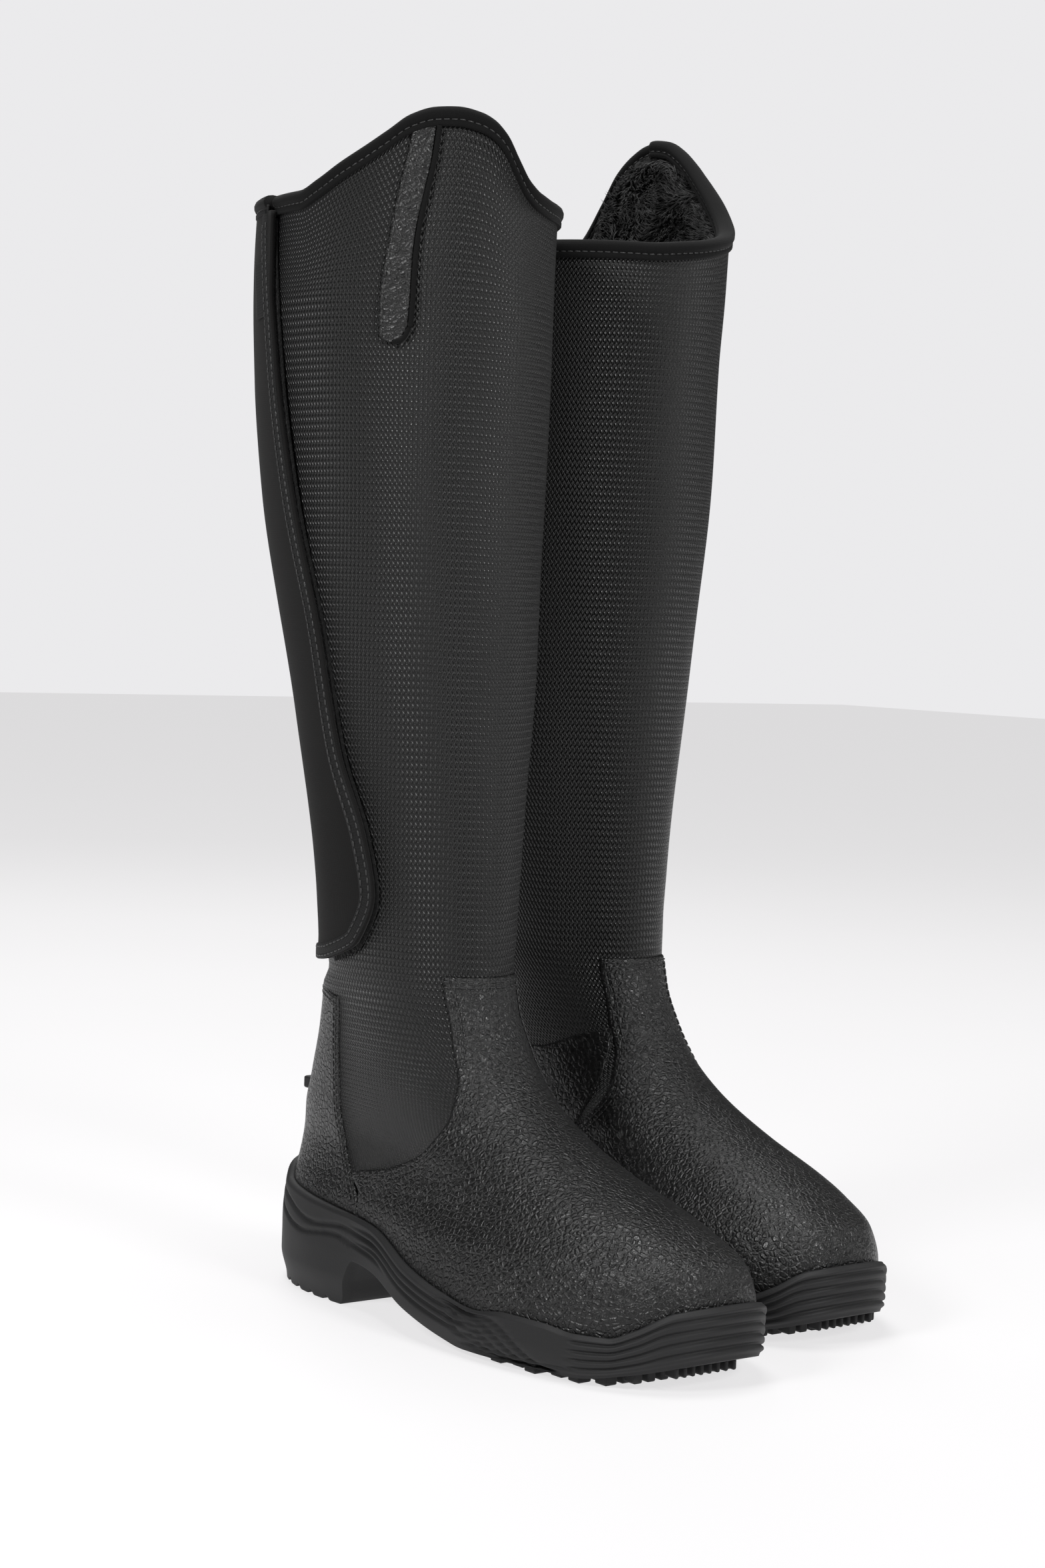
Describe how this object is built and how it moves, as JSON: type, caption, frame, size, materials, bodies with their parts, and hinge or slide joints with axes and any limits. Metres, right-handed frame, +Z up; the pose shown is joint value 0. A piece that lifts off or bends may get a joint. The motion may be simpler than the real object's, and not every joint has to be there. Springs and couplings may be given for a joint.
{
  "type": "tall winter riding boots",
  "caption": "Pair of tall pile-lined winter riding boots with embossed cloth shafts, leather feet, lugged rubber soles and a rear hook-and-loop calf flap.",
  "frame": {"origin": "centre of the pair's bounding box, on the floor that the soles stand on", "axes": "+X towards the toes, +Z up the shafts, right boot at -Y and left boot at +Y"},
  "size_m": [0.3313, 0.2575, 0.547],
  "materials": {
    "sole_rubber": "matte moulded",
    "steel": "satin",
    "board": "fibreboard",
    "footbed_foam": "felted",
    "pile": "deep pile",
    "pebbled_leather": "pebbled semi-gloss",
    "embossed_cloth": "embossed basket weave, slight sheen",
    "loop_pile": "brushed loop",
    "binding_neoprene": "knit-faced neoprene",
    "flap_neoprene": "knit-faced neoprene",
    "edge_tape": "flat woven tape",
    "woven_label": "woven"
  },
  "bodies": {
    "right_boot": {"right_sole_unit": "sole_rubber", "right_shank": "steel", "right_insole_board": "board", "right_footbed": "footbed_foam", "right_toe_puff": "board", "right_heel_stiffener": "board", "right_foot_lining": "pile", "right_vamp": "pebbled_leather", "right_heel_counter": "pebbled_leather", "right_ankle_guard": "pebbled_leather", "right_spur_rest": "sole_rubber", "right_shaft_cloth": "embossed_cloth", "right_shaft_lining": "pile", "right_loop_strip": "loop_pile", "right_top_stripe": "pebbled_leather", "right_stripe_piping": "binding_neoprene", "right_top_binding": "binding_neoprene"},
    "right_flap": {"right_calf_flap": "flap_neoprene", "right_flap_lining": "pile", "right_hook_strip": "loop_pile", "right_flap_tape": "edge_tape", "right_flap_binding": "binding_neoprene", "right_label": "woven_label"},
    "left_boot": {"left_sole_unit": "sole_rubber", "left_shank": "steel", "left_insole_board": "board", "left_footbed": "footbed_foam", "left_toe_puff": "board", "left_heel_stiffener": "board", "left_foot_lining": "pile", "left_vamp": "pebbled_leather", "left_heel_counter": "pebbled_leather", "left_ankle_guard": "pebbled_leather", "left_spur_rest": "sole_rubber", "left_shaft_cloth": "embossed_cloth", "left_shaft_lining": "pile", "left_loop_strip": "loop_pile", "left_top_stripe": "pebbled_leather", "left_stripe_piping": "binding_neoprene", "left_top_binding": "binding_neoprene"},
    "left_flap": {"left_calf_flap": "flap_neoprene", "left_flap_lining": "pile", "left_hook_strip": "loop_pile", "left_flap_tape": "edge_tape", "left_flap_binding": "binding_neoprene", "left_label": "woven_label"}
  },
  "joints": [
    {"name": "pair_spacing", "type": "slide", "parent": "right_boot", "child": "left_boot", "axis": [0, 1, 0], "range_m": [0, 0.25]},
    {"name": "right_flap_opening", "type": "hinge", "parent": "right_boot", "child": "right_flap", "pos_m": [-0.0964, -0.058, 0.19], "axis": [0.1517, 0.0259, -0.9881], "range_deg": [0, 70]},
    {"name": "left_flap_opening", "type": "hinge", "parent": "left_boot", "child": "left_flap", "pos_m": [-0.12941, 0.05678, 0.19], "axis": [-0.1524, 0.0214, 0.9881], "range_deg": [0, 70]}
  ]
}
